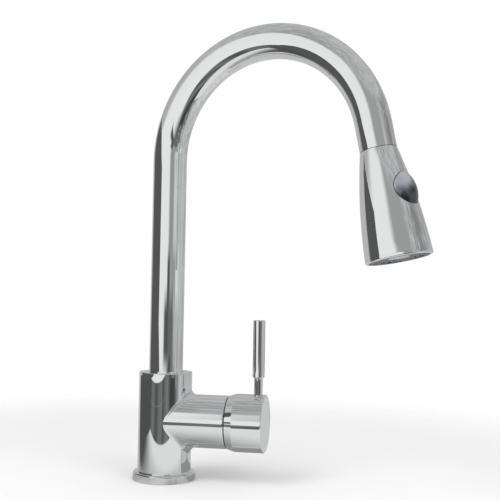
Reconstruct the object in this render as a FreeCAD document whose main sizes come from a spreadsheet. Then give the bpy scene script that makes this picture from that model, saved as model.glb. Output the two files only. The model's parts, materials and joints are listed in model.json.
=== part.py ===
import FreeCAD, Part
import math
import operator
import os
from types import SimpleNamespace

import Sketcher
from FreeCAD import Placement, Rotation, Vector

# Pull-out kitchen faucet, in millimetres. The origin is the centre of the base on the worktop,
# +Z points up and +X points along the valve branch, towards the lever. At rest the spout is
# swung round from +X towards -Y.

SIZES = {
    # gooseneck spout: a bent tube whose end leans out of the vertical
    "tube_d": 28.0,
    "tube_wall": 1.2,
    "riser_len": 176.3,
    "bend_r": 91.0,
    "end_tilt": 11.7,
    "tail_len": 21.0,
    "spout_turn": 17.0,
    # hose that runs inside the spout, with its end fittings
    "hose_d": 12.0,
    "hose_bore": 8.0,
    "hose_play": 1.2,
    "hose_drop": 18.0,
    "tail_nut_flats": 14.0,
    "tail_nut_len": 8.0,
    "tail_thread_d": 10.0,
    "tail_thread_len": 10.0,
    "crimp_wall": 1.5,
    "crimp_len": 14.0,
    # valve branch and the cartridge stacked in it, from the seat outwards
    "branch_z": 48.5,
    "cartridge_d": 35.0,
    "branch_wall": 2.8,
    "branch_round": 1.2,
    "joint_round": 5.0,
    "seal_stand": 0.9,
    "seal_wire": 1.5,
    "seal_ring_d": 6.8,
    "base_disc_t": 4.2,
    "ceramic_t": 3.0,
    "moving_disc_d": 23.0,
    "moving_disc_t": 3.2,
    "mix_recess_d": 10.0,
    "mix_recess_depth": 1.8,
    "carrier_t": 1.9,
    "carrier_socket_d": 6.8,
    "rotor_len": 10.4,
    "rotor_slot_up": 8.0,
    "cartridge_wall": 2.5,
    "lip_t": 2.8,
    "lip_hole_d": 21.0,
    "nut_step": 1.2,
    "nut_len": 8.2,
    "nut_hole_d": 26.0,
    "nut_notch": 4.0,
    "mouth_depth": 1.9,
    "pivot_rise": 3.55,
    "pivot_pin_d": 2.5,
    "stem_square": 7.0,
    "stem_hub_d": 6.4,
    "stem_tip_d": 4.6,
    "stem_tip_gap": 0.65,
    "bonnet_wall": 1.5,
    "bonnet_hole_d": 27.6,
    "bonnet_clear": 2.6,
    # handle: cap, lever and its fixing screw
    "handle_gap": 0.7,
    "swing_gap": 0.2,
    "cap_len": 30.1,
    "cap_overhang": 1.9,
    "cap_chamfer_len": 6.0,
    "cap_chamfer_in": 1.8,
    "cap_round": 0.8,
    "cap_end_wall": 11.0,
    "boss_d": 17.0,
    "boss_clear": 0.4,
    "stem_short": 1.8,
    "cap_screw_d": 4.0,
    "cap_screw_inset": 4.0,
    "plug_d": 5.2,
    "plug_sink": 0.3,
    "lever_inset": 6.3,
    "lever_d": 7.2,
    "lever_sink": 12.0,
    "lever_clear_len": 13.0,
    "grip_d": 10.0,
    "grip_len": 47.5,
    "grip_chamfer": 1.2,
    "grip_round": 0.8,
    "grip_core_d": 4.8,
    "grip_core_len": 35.0,
    # barrel: swivel seat of the spout, stacked from its floor upwards
    "barrel_step": 0.4,
    "barrel_wall": 2.5,
    "barrel_round": 0.6,
    "seat_floor_wall": 2.4,
    "thrust_t": 1.2,
    "thrust_hole_d": 20.0,
    "ferrule_len": 10.0,
    "tube_seat_rise": 3.0,
    "bush_wall": 3.0,
    "bush_len": 5.0,
    "collar_ledge": 2.2,
    "collar_t": 3.0,
    "ring_wire": 1.7,
    "ring_inset": 1.6,
    "ring_groove_w": 2.0,
    "hold_groove_w": 2.8,
    "hold_screw_d": 3.0,
    "hold_tip_d": 2.0,
    "hold_screw_sink": 0.5,
    "hold_screw_turn": -30.6,
    "screw_socket": 1.5,
    "screw_socket_depth": 1.6,
    # underside: waterways, inlets and the clamp under the worktop
    "inlet_d": 8.9,
    "inlet_depth": 12.0,
    "inlet_angle": 75.0,
    "inlet_web": 1.15,
    "channel_d": 5.0,
    "port_side": 10.4,
    "port_up": 3.5,
    "port_down": 10.5,
    "seat_wall": 1.7,
    "spigot_wall": 0.85,
    "spigot_lift": 1.0,
    "flange_overhang": 3.8,
    "flange_h": 7.0,
    "flange_round": 2.0,
    "foot_round": 0.4,
    "foot_seal_inset": 2.0,
    "foot_seal_w": 3.4,
    "foot_seal_h": 2.5,
    "worktop_t": 30.0,
    "stud_d": 6.0,
    "stud_ring": 13.5,
    "stud_angle": 140.0,
    "stud_bite": 11.0,
    "stud_spare": 14.0,
    "pad_t": 3.0,
    "plate_t": 3.5,
    "plate_d": 50.0,
    "plate_slot_w": 35.4,
    "plate_slot_back": 2.2,
    "plate_notch_d": 18.0,
    "nut_flats": 10.0,
    "nut_height": 5.0,
    # spray head, measured down its axis from the end of the tube
    "dock_gap": 0.4,
    "dock_bush_wall": 2.8,
    "dock_bush_len": 15.0,
    "dock_play": 0.3,
    "head_turn": 18.0,
    "head_d": 50.0,
    "head_wall": 2.0,
    "head_sweep_r": 450.0,
    "head_top_t": 2.5,
    "head_lower_len": 36.5,
    "head_ring_h": 2.4,
    "head_ring_round": 0.9,
    "neck_up": 5.0,
    "neck_down": 15.5,
    "fitting_d": 14.84,
    "fitting_depth": 12.0,
    "fitting_collar_d": 18.4,
    "fitting_collar_t": 3.3,
    "fitting_bore": 6.4,
    "washer_t": 2.0,
    "washer_hole_d": 8.0,
    "valve_cup_d": 12.0,
    "valve_cup_len": 12.0,
    "valve_cup_hole_d": 6.0,
    "core_wall": 2.0,
    "water_d": 9.0,
    "bell_drop": 5.2,
    "bell_len": 11.0,
    "bell_wall": 2.0,
    "bell_inset": 3.1,
    "face_recess": 1.6,
    "face_t": 3.0,
    "nozzle_d": 2.1,
    "nozzle_tip_d": 1.4,
    "nozzle_out": 0.9,
    "nozzle_inner_ring": 12.5,
    "nozzle_outer_ring": 17.5,
    "nozzle_inner_count": 14,
    "nozzle_outer_count": 20,
    "aerator_d": 16.0,
    "aerator_wall": 1.5,
    "aerator_up": 6.0,
    "aerator_flange": 2.0,
    "aerator_sink": 1.2,
    "screen_t": 1.2,
    "screen_hole_d": 1.5,
    "screen_ring": 4.3,
    "screen_count": 9,
    # spray button on the outer side of the head
    "button_mid": 34.0,
    "button_d": 25.0,
    "button_rise": 3.8,
    "button_tilt": 7.6,
    "button_long_r": 22.5,
    "button_side_r": 13.8,
    "button_wall": 2.0,
    "button_gap": 0.3,
    "button_skirt": 7.8,
    "pin_d": 3.0,
    "pin_reach": 3.0,
    "guide_d": 7.6,
    "guide_top": 16.0,
    "spring_seat": 9.0,
    "spring_seat_d": 12.0,
    "spring_d": 9.8,
    "spring_wire": 0.7,
    "spring_turns": 5,
    # clearances
    "fit_gap": 0.1,
    "run_gap": 0.08,
    "seat_gap": 0.05,
    "free_gap": 0.3,
}

doc = FreeCAD.newDocument("faucet")
sheet = doc.addObject("Spreadsheet::Sheet", "Sizes")
for row, (alias, number) in enumerate(SIZES.items(), start=1):
    sheet.set(f"A{row}", str(number))
    sheet.setAlias(f"A{row}", alias)
doc.recompute()


class Size:
    """A number worked out from the sheet, with the expression that binds a property to it."""

    def __init__(self, value, text):
        self.value = value
        self.text = text

    def __add__(self, other):
        return joined(self, "+", other)

    def __radd__(self, other):
        return joined(other, "+", self)

    def __sub__(self, other):
        return joined(self, "-", other)

    def __rsub__(self, other):
        return joined(other, "-", self)

    def __mul__(self, other):
        return joined(self, "*", other)

    def __rmul__(self, other):
        return joined(other, "*", self)

    def __truediv__(self, other):
        return joined(self, "/", other)

    def __neg__(self):
        return joined(0, "-", self)


OPERATORS = {"+": operator.add, "-": operator.sub, "*": operator.mul, "/": operator.truediv}


def as_size(number):
    return number if isinstance(number, Size) else Size(float(number), repr(float(number)))


def joined(left, sign, right):
    left, right = as_size(left), as_size(right)
    value = OPERATORS[sign](left.value, right.value)
    return Size(value, f"({left.text} {sign} {right.text})")


def root(size):
    return Size(math.sqrt(size.value), f"sqrt({size.text})")


def cosine(angle):
    return Size(math.cos(math.radians(angle.value)), f"cos({angle.text})")


def sine(angle):
    return Size(math.sin(math.radians(angle.value)), f"sin({angle.text})")


def tangent(angle):
    return Size(math.tan(math.radians(angle.value)), f"tan({angle.text})")


def larger(left, right):
    return Size(max(left.value, right.value), f"max({left.text}; {right.text})")


cells = SimpleNamespace(
    **{alias: Size(float(sheet.get(alias)), f"Sizes.{alias}") for alias in SIZES}
)

AXIS_TURNS = {
    "z": Rotation(),
    "x": Rotation(Vector(0, 1, 0), 90),
    "y": Rotation(Vector(1, 0, 0), -90),
}
SWAP_X_AND_Z = Rotation(Vector(1, 0, 1), 180)


def bind(thing, **properties):
    """Ties properties to the sheet."""
    for name, size in properties.items():
        thing.setExpression(name, as_size(size).text)


def put(thing, base, along="z"):
    """Turns a solid so that its own Z lies along an axis, and binds where it starts."""
    if isinstance(base, Placement):
        thing.Placement = base
        return thing
    thing.Placement = Placement(Vector(), AXIS_TURNS[along])
    for axis, size in zip("xyz", base):
        thing.setExpression(f"Placement.Base.{axis}", as_size(size).text)
    return thing


def cylinder(name, radius, height, base=(0, 0, 0), along="z"):
    solid = doc.addObject("Part::Cylinder", name)
    bind(solid, Radius=radius, Height=height)
    return put(solid, base, along)


def block(name, length, width, height, corner):
    solid = doc.addObject("Part::Box", name)
    bind(solid, Length=length, Width=width, Height=height)
    return put(solid, corner)


def hexagon(name, flats, height, base=(0, 0, 0)):
    solid = doc.addObject("Part::Prism", name)
    solid.Polygon = 6
    bind(solid, Circumradius=flats / root(as_size(3)), Height=height)
    return put(solid, base)


def ring(name, middle_radius, wire_radius, base):
    solid = doc.addObject("Part::Torus", name)
    bind(solid, Radius1=middle_radius, Radius2=wire_radius)
    return put(solid, base)


def fuse(name, *solids):
    whole = doc.addObject("Part::MultiFuse", name)
    whole.Shapes = list(solids)
    whole.Refine = True
    return whole


def cut(name, solid, *tools):
    """Takes the tools out of a solid one after another; the last step has the name."""
    for tool in tools:
        step = doc.addObject("Part::Cut", name if tool is tools[-1] else name + "_step")
        step.Base = solid
        step.Tool = tool
        solid = step
    return solid


def common(name, left, right):
    result = doc.addObject("Part::Common", name)
    result.Base = left
    result.Tool = right
    return result


def group(name, *solids):
    whole = doc.addObject("Part::Compound", name)
    whole.Links = list(solids)
    return whole


def sketch_on(body, name, plane):
    sketch = body.newObject("Sketcher::SketchObject", name)
    face = next(item for item in body.Origin.OriginFeatures if item.Role == plane)
    sketch.AttachmentSupport = (face, [""])
    sketch.MapMode = "FlatFace"
    return sketch


def arc_middle(start, end, radius, side):
    """The middle of an arc between two points that bulges to the left (1) or right (-1)."""
    chord = end - start
    half = chord.Length / 2
    rise = radius - math.sqrt(radius * radius - half * half)
    left = Vector(-chord.y, chord.x, 0).normalize()
    return (start + end) / 2 + left * (side * rise)


def draw_outline(sketch, corners, arcs):
    """A closed outline through bound corners. arcs maps a side's number to (radius, side)."""
    points = [Vector(as_size(x).value, as_size(y).value, 0) for x, y in corners]
    ends = []
    for number, start in enumerate(points):
        end = points[(number + 1) % len(points)]
        if number not in arcs:
            sketch.addGeometry(Part.LineSegment(start, end), False)
            ends.append((1, 2))
            continue
        radius, side = arcs[number]
        middle = arc_middle(start, end, radius.value, side)
        # a sketch keeps its arcs anticlockwise, so one that bulges left is drawn backwards
        first, last = (start, end) if side < 0 else (end, start)
        sketch.addGeometry(Part.Arc(first, middle, last), False)
        ends.append((1, 2) if side < 0 else (2, 1))
        bound = sketch.addConstraint(Sketcher.Constraint("Radius", number, radius.value))
        sketch.setExpression(f"Constraints[{bound}]", radius.text)
    for number, (start_end, _) in enumerate(ends):
        before = number - 1 if number else len(ends) - 1
        sketch.addConstraint(
            Sketcher.Constraint("Coincident", before, ends[before][1], number, start_end)
        )
        for kind, size in zip(("DistanceX", "DistanceY"), corners[number]):
            size = as_size(size)
            bound = sketch.addConstraint(
                Sketcher.Constraint(kind, -1, 1, number, start_end, size.value)
            )
            sketch.setExpression(f"Constraints[{bound}]", size.text)


def circle_edges(shape, radius, height):
    """Names of the circular edges about Z with this radius and height."""
    names = []
    for number, edge in enumerate(shape.Edges, start=1):
        if edge.Curve.TypeId != "Part::GeomCircle":
            continue
        if abs(edge.Curve.Radius - radius) < 1e-4 and abs(edge.Curve.Center.z - height) < 1e-4:
            names.append(f"Edge{number}")
    return names


def turned(name, corners, arcs=None, rounds=()):
    """A body of revolution about Z. rounds holds (radius, height, fillet) of edges to soften."""
    body = doc.addObject("PartDesign::Body", name)
    sketch = sketch_on(body, name + "_outline", "XZ_Plane")
    draw_outline(sketch, corners, arcs or {})
    feature = body.newObject("PartDesign::Revolution", name + "_turn")
    feature.Profile = sketch
    feature.ReferenceAxis = (sketch, ["V_Axis"])
    feature.Angle = 360
    doc.recompute()
    for radius, height, fillet in rounds:
        edges = circle_edges(feature.Shape, as_size(radius).value, as_size(height).value)
        soft = body.newObject("PartDesign::Fillet", name + "_round")
        soft.Base = (feature, edges)
        bind(soft, Radius=fillet)
        doc.recompute()
        feature = soft
    return body


def drill_ring(body, name, hole_radius, ring_radius, count):
    """Holes through a disc about its own Z, spread evenly on a circle."""
    sketch = sketch_on(body, name + "_hole", "XY_Plane")
    centre = Vector(ring_radius.value, 0, 0)
    sketch.addGeometry(Part.Circle(centre, Vector(0, 0, 1), hole_radius.value), False)
    for kind, size in (("DistanceX", ring_radius), ("DistanceY", as_size(0))):
        bound = sketch.addConstraint(Sketcher.Constraint(kind, -1, 1, 0, 3, size.value))
        sketch.setExpression(f"Constraints[{bound}]", size.text)
    bound = sketch.addConstraint(Sketcher.Constraint("Radius", 0, hole_radius.value))
    sketch.setExpression(f"Constraints[{bound}]", hole_radius.text)
    pocket = body.newObject("PartDesign::Pocket", name + "_pocket")
    pocket.Profile = sketch
    pocket.Type = "ThroughAll"
    pocket.Midplane = True
    doc.recompute()
    pattern = body.newObject("PartDesign::PolarPattern", name + "_pattern")
    pattern.Originals = [pocket]
    pattern.Axis = (sketch, ["N_Axis"])
    pattern.Angle = 360
    bind(pattern, Occurrences=count)
    body.Tip = pattern
    doc.recompute()
    return body


def drilled_grub(name, parts, socket_face):
    """A grub screw along Z made of (radius, start, end) lengths, with a hexagon socket."""
    lengths = [
        cylinder(name + "_length", radius, end - start, (0, 0, start))
        for radius, start, end in parts
    ]
    body = fuse(name + "_body", *lengths) if len(lengths) > 1 else lengths[0]
    depth = cells.screw_socket_depth
    key = hexagon(name + "_key", cells.screw_socket, depth, (0, 0, socket_face - depth))
    return cut(name, body, key)


# shared radii and heights

tube_r = cells.tube_d / 2
tube_in_r = tube_r - cells.tube_wall
hose_r = cells.hose_d / 2
passage_r = hose_r + cells.hose_play
inlet_r = cells.inlet_d / 2
channel_r = cells.channel_d / 2
port_ring = passage_r + inlet_r + cells.inlet_web
inlet_x = port_ring * cosine(cells.inlet_angle)
inlet_y = port_ring * sine(cells.inlet_angle)
spigot_r = port_ring + inlet_r + cells.spigot_wall

cartridge_r = cells.cartridge_d / 2
cartridge_bore_r = cartridge_r + cells.fit_gap
nut_bore_r = cartridge_bore_r + cells.nut_step
branch_r = nut_bore_r + cells.branch_wall
swivel_r = tube_r + cells.bush_wall
collar_r = swivel_r + cells.collar_ledge
barrel_r = larger(branch_r + cells.barrel_step, collar_r + cells.barrel_wall)
flange_r = barrel_r + cells.flange_overhang

swivel_floor = cells.branch_z + cartridge_bore_r + cells.seat_floor_wall
ferrule_low = swivel_floor + cells.thrust_t + cells.fit_gap
ferrule_top = ferrule_low + cells.ferrule_len
bush_low = ferrule_top + cells.free_gap
collar_low = bush_low + cells.bush_len + cells.fit_gap
body_top = collar_low + cells.collar_t
tube_low = ferrule_low + cells.tube_seat_rise
hold_z = (ferrule_low + ferrule_top) / 2
ring_groove_r = swivel_r - cells.fit_gap - cells.ring_wire - cells.seat_gap

# the cartridge's stack along the branch, from its seat outwards

seat_x = port_ring + channel_r + cells.seat_wall
base_disc_x = seat_x + cells.seal_stand
fixed_disc_x = base_disc_x + cells.base_disc_t
moving_disc_x = fixed_disc_x + cells.ceramic_t + cells.seat_gap
carrier_x = moving_disc_x + cells.moving_disc_t
rotor_x = carrier_x + cells.carrier_t + 2 * cells.fit_gap
rotor_end = rotor_x + cells.rotor_len
lip_x = rotor_end + cells.fit_gap + cells.seat_gap
cartridge_end = lip_x + cells.lip_t
nut_x = cartridge_end + cells.fit_gap
nut_end = nut_x + cells.nut_len
branch_end = nut_end + cells.mouth_depth
pivot_x = rotor_x + cells.pivot_rise
cartridge_in_r = cartridge_r - cells.cartridge_wall
rotor_r = cartridge_in_r - cells.run_gap

# the handle stays outside a ball about its pivot that the branch's mouth just fits in

branch_reach = branch_end - pivot_x
swing_r = root(branch_reach * branch_reach + branch_r * branch_r) + cells.swing_gap
rim_x = branch_end + cells.handle_gap
rim_reach = rim_x - pivot_x
cap_r = branch_r + cells.cap_overhang
cap_hollow_r = root(swing_r * swing_r - rim_reach * rim_reach)
cap_end = rim_x + cells.cap_len
boss_x = pivot_x + swing_r + cells.boss_clear
hollow_end = cap_end - cells.cap_end_wall
stem_end = hollow_end - cells.stem_short
cap_screw_x = boss_x + cells.cap_screw_inset
lever_x = cap_end - cells.lever_inset
lever_low = cap_r - cells.lever_sink + cells.fit_gap
grip_low = cap_r + cells.lever_clear_len

# the spray head's outside is an arc of large radius from the tube to the lower ring

head_r = cells.head_d / 2
head_len = cells.button_mid + cells.button_d / 2 + cells.head_lower_len
sweep_end = head_len - cells.head_ring_h
sweep_len = sweep_end - cells.dock_gap
sweep_out = head_r - tube_r
half_chord = root(sweep_len * sweep_len + sweep_out * sweep_out) / 2
sweep_depth = root(cells.head_sweep_r * cells.head_sweep_r - half_chord * half_chord)
sweep_mid_s = (cells.dock_gap + sweep_end) / 2 + sweep_depth * sweep_out / (2 * half_chord)
sweep_mid_r = (tube_r + head_r) / 2 - sweep_depth * sweep_len / (2 * half_chord)
button_offset = cells.button_mid - sweep_mid_s
button_shell_r = sweep_mid_r + root(
    cells.head_sweep_r * cells.head_sweep_r - button_offset * button_offset
)
button_s = cells.button_mid + button_shell_r * tangent(cells.button_tilt)
button_seat = button_shell_r / cosine(cells.button_tilt)
button_crown = button_seat + cells.button_rise
button_under = button_crown - cells.button_wall
dock_bore_r = tube_in_r - cells.dock_bush_wall
neck_r = dock_bore_r - cells.dock_play
fitting_r = cells.fitting_d / 2
fitting_bore_r = fitting_r + cells.run_gap
collar_foot = cells.neck_up + 2 * cells.fit_gap
hose_head_z = collar_foot + cells.fitting_collar_t + cells.fit_gap
valve_cup_top = cells.fitting_depth + cells.fit_gap + cells.washer_t
valve_cup_end = valve_cup_top + cells.valve_cup_len
core_r = cells.valve_cup_d / 2 + cells.core_wall
water_r = cells.water_d / 2
bell_s = cells.button_mid + cells.button_d / 2 + cells.bell_drop
bell_end = bell_s + cells.bell_len
face_low = head_len - cells.face_recess
face_top = face_low - cells.face_t
face_r = head_r - cells.head_wall - cells.free_gap
bell_r = face_r - cells.bell_inset
aerator_r = cells.aerator_d / 2

# frames that sub-parts are built in

VALVE = Placement(Vector(0, 0, cells.branch_z.value), SWAP_X_AND_Z)
PIVOT = VALVE * Placement(Vector(0, 0, pivot_x.value), AXIS_TURNS["y"])
LEVER = Placement(Vector(lever_x.value, 0, cells.branch_z.value), Rotation())
SPOUT = Placement(Vector(), Rotation(Vector(0, 0, 1), -cells.spout_turn.value))
tilt = math.radians(cells.end_tilt.value)
spout_end = Vector(
    cells.bend_r.value * (1 + math.cos(tilt)) + cells.tail_len.value * math.sin(tilt),
    0,
    body_top.value
    + cells.riser_len.value
    + cells.bend_r.value * math.sin(tilt)
    - cells.tail_len.value * math.cos(tilt),
)
SPOUT_MOUTH = SPOUT * Placement(spout_end, Rotation(Vector(0, 1, 0), -cells.end_tilt.value))
HEAD = SPOUT_MOUTH * Placement(Vector(), Rotation(Vector(0, 0, 1), -cells.head_turn.value))
BUTTON_IN_HEAD = Placement(
    Vector(0, 0, -button_s.value),
    Rotation(Vector(0, 1, 0), -cells.button_tilt.value) * SWAP_X_AND_Z,
)
BUTTON = HEAD * BUTTON_IN_HEAD
HOLD_SCREW = Placement(
    Vector(0, 0, hold_z.value),
    Rotation(Vector(0, 0, 1), cells.hold_screw_turn.value) * SWAP_X_AND_Z,
)


# base and clamp


def make_base_flange():
    bore_r = spigot_r + cells.fit_gap
    groove_in = bore_r + cells.foot_seal_inset
    groove_out = groove_in + cells.foot_seal_w
    corners = [
        (bore_r, 0),
        (groove_in, 0),
        (groove_in, cells.foot_seal_h),
        (groove_out, cells.foot_seal_h),
        (groove_out, 0),
        (flange_r, 0),
        (flange_r, cells.flange_h),
        (bore_r, cells.flange_h),
    ]
    rounds = [
        (flange_r, cells.flange_h, cells.flange_round),
        (flange_r, 0, cells.foot_round),
    ]
    return turned("base_flange", corners, rounds=rounds)


def make_base_seal():
    inside = spigot_r + cells.fit_gap + cells.foot_seal_inset + cells.seat_gap
    outside = inside + cells.foot_seal_w - 2 * cells.seat_gap
    top = cells.foot_seal_h - cells.seat_gap
    return turned("base_seal", [(inside, 0), (outside, 0), (outside, top), (inside, top)])


def stud_places():
    x = cells.stud_ring * cosine(cells.stud_angle)
    y = cells.stud_ring * sine(cells.stud_angle)
    return [(x, y), (x, -y)]


clamp_top = -cells.worktop_t
plate_top = clamp_top - cells.pad_t
plate_low = plate_top - cells.plate_t
stud_low = plate_low - cells.nut_height - cells.stud_spare
stud_top = cells.spigot_lift + cells.stud_bite


def make_fixing_studs():
    length = stud_top - stud_low
    studs = [
        cylinder("stud", cells.stud_d / 2, length, (x, y, stud_low)) for x, y in stud_places()
    ]
    return group("fixing_studs", *studs)


def make_horseshoe(name, top, thickness):
    """A round plate with a slot for the hoses, open towards +X, and holes for the studs."""
    low = top - thickness
    disc = cylinder(name + "_disc", cells.plate_d / 2, thickness, (0, 0, low))
    slot_len = cells.plate_d / 2 + 2 * cells.plate_slot_back
    slot_corner = (-cells.plate_slot_back, -cells.plate_slot_w / 2, low)
    slot = block(name + "_slot", slot_len, cells.plate_slot_w, thickness, slot_corner)
    notch = cylinder(name + "_notch", cells.plate_notch_d / 2, thickness, (0, 0, low))
    hole_r = cells.stud_d / 2 + cells.fit_gap
    holes = [cylinder(name + "_hole", hole_r, thickness, (x, y, low)) for x, y in stud_places()]
    return cut(name, disc, slot, notch, *holes)


def make_stud_nuts():
    nuts = []
    low = plate_low - cells.nut_height
    for x, y in stud_places():
        body = hexagon("stud_nut_body", cells.nut_flats, cells.nut_height, (x, y, low))
        hole_r = cells.stud_d / 2 + cells.seat_gap
        hole = cylinder("stud_nut_hole", hole_r, cells.nut_height, (x, y, low))
        nuts.append(cut("stud_nut", body, hole))
    return group("stud_nuts", *nuts)


# valve body


def rounded_casting():
    """Barrel, branch and base spigot in one, with the corner between them filled in."""
    low = cells.flange_h
    barrel = cylinder("barrel", barrel_r, body_top - low, (0, 0, low))
    branch = cylinder("branch", branch_r, branch_end, (0, 0, cells.branch_z), "x")
    lift = cells.spigot_lift
    spigot = cylinder("spigot", spigot_r, low - lift, (0, 0, lift))
    whole = fuse("casting_blank", barrel, branch, spigot)
    doc.recompute()
    softened = []
    for number, edge in enumerate(whole.Shape.Edges, start=1):
        curve = edge.Curve
        if curve.TypeId == "Part::GeomBSplineCurve":
            softened.append((number, cells.joint_round))
        elif curve.TypeId == "Part::GeomCircle":
            if abs(curve.Center.x - branch_end.value) < 1e-3:
                softened.append((number, cells.branch_round))
            elif abs(curve.Center.z - body_top.value) < 1e-3:
                softened.append((number, cells.barrel_round))
    casting = doc.addObject("Part::Fillet", "casting")
    casting.Base = whole
    casting.Edges = [(number, size.value, size.value) for number, size in softened]
    return casting


def waterways():
    """Threaded sockets under the body and the channels from them to the cartridge's seat."""
    z = cells.branch_z
    inlet_top = cells.spigot_lift + cells.inlet_depth
    legs = [
        (inlet_x, inlet_y, cells.port_side, z + cells.port_up),
        (inlet_x, -inlet_y, -cells.port_side, z + cells.port_up),
        (port_ring, as_size(0), as_size(0), z - cells.port_down),
    ]
    tools = []
    for x, y, port_y, port_z in legs:
        mouth = (x, y, cells.spigot_lift)
        tools.append(cylinder("socket", inlet_r, cells.inlet_depth, mouth))
        rise = port_z + channel_r - inlet_top
        feed_r = channel_r - cells.free_gap
        tools.append(cylinder("riser", channel_r, rise, (x, y, inlet_top)))
        tools.append(cylinder("feed", feed_r, seat_x - x, (x, port_y, port_z), "x"))
    return tools


def make_valve_body():
    z = cells.branch_z
    lift = cells.spigot_lift
    passage = cylinder("passage", passage_r, swivel_floor - lift, (0, 0, lift))
    swivel_hole = cylinder("swivel_hole", swivel_r, body_top - swivel_floor, (0, 0, swivel_floor))
    collar_hole = cylinder("collar_hole", collar_r, cells.collar_t, (0, 0, collar_low))
    cartridge_hole = cylinder(
        "cartridge_hole", cartridge_bore_r, branch_end - seat_x, (seat_x, 0, z), "x"
    )
    nut_hole = cylinder(
        "nut_hole", nut_bore_r, branch_end - cartridge_end, (cartridge_end, 0, z), "x"
    )
    stud_hole_r = cells.stud_d / 2 + cells.seat_gap
    stud_holes = [
        cylinder("stud_hole", stud_hole_r, cells.stud_bite + cells.free_gap, (x, y, lift))
        for x, y in stud_places()
    ]
    screw_hole_r = cells.hold_screw_d / 2 + cells.seat_gap
    screw_hole = cylinder("screw_hole", screw_hole_r, barrel_r, HOLD_SCREW)
    tools = [passage, swivel_hole, collar_hole, cartridge_hole, nut_hole, screw_hole]
    return cut("valve_body", rounded_casting(), *tools, *stud_holes, *waterways())


# swivel of the spout


def make_thrust_washer():
    inside = cells.thrust_hole_d / 2
    outside = swivel_r - cells.fit_gap
    top = swivel_floor + cells.thrust_t
    corners = [(inside, swivel_floor), (outside, swivel_floor), (outside, top), (inside, top)]
    return turned("swivel_washer", corners)


def make_spout_ferrule():
    outside = swivel_r - cells.free_gap - cells.fit_gap
    seat_r = tube_r + cells.seat_gap
    ring_half = cells.ring_groove_w / 2
    hold_half = cells.hold_groove_w / 2
    corners = [(tube_in_r, ferrule_low), (outside, ferrule_low)]
    grooves = [
        (ferrule_low + cells.ring_inset, ring_half),
        (hold_z, hold_half),
        (ferrule_top - cells.ring_inset, ring_half),
    ]
    for middle, half in grooves:
        corners += [
            (outside, middle - half),
            (ring_groove_r, middle - half),
            (ring_groove_r, middle + half),
            (outside, middle + half),
        ]
    corners += [
        (outside, ferrule_top),
        (seat_r, ferrule_top),
        (seat_r, tube_low),
        (tube_in_r, tube_low),
    ]
    return turned("spout_ferrule", corners)


def make_spout_rings():
    wire_r = cells.ring_wire / 2
    middle_r = ring_groove_r + cells.seat_gap + wire_r
    heights = [ferrule_low + cells.ring_inset, ferrule_top - cells.ring_inset]
    rings = [ring("spout_ring", middle_r, wire_r, (0, 0, height)) for height in heights]
    return group("spout_o_rings", *rings)


def make_swivel_bush():
    inside = tube_r + cells.run_gap
    outside = swivel_r - cells.seat_gap
    top = bush_low + cells.bush_len
    corners = [(inside, bush_low), (outside, bush_low), (outside, top), (inside, top)]
    return turned("swivel_bush", corners)


def make_spout_collar():
    inside = tube_r + cells.free_gap
    outside = collar_r - cells.seat_gap
    corners = [(inside, collar_low), (outside, collar_low), (outside, body_top), (inside, body_top)]
    return turned("spout_collar", corners)


def make_hold_screw():
    shank_start = swivel_r + cells.free_gap
    shank_end = barrel_r - cells.hold_screw_sink
    tip_start = ring_groove_r + cells.free_gap
    lengths = [
        (cells.hold_tip_d / 2, tip_start, shank_end),
        (cells.hold_screw_d / 2, shank_start, shank_end),
    ]
    return drilled_grub("spout_set_screw", lengths, shank_end)


# spout tube and hose, on the same bent line


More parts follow.
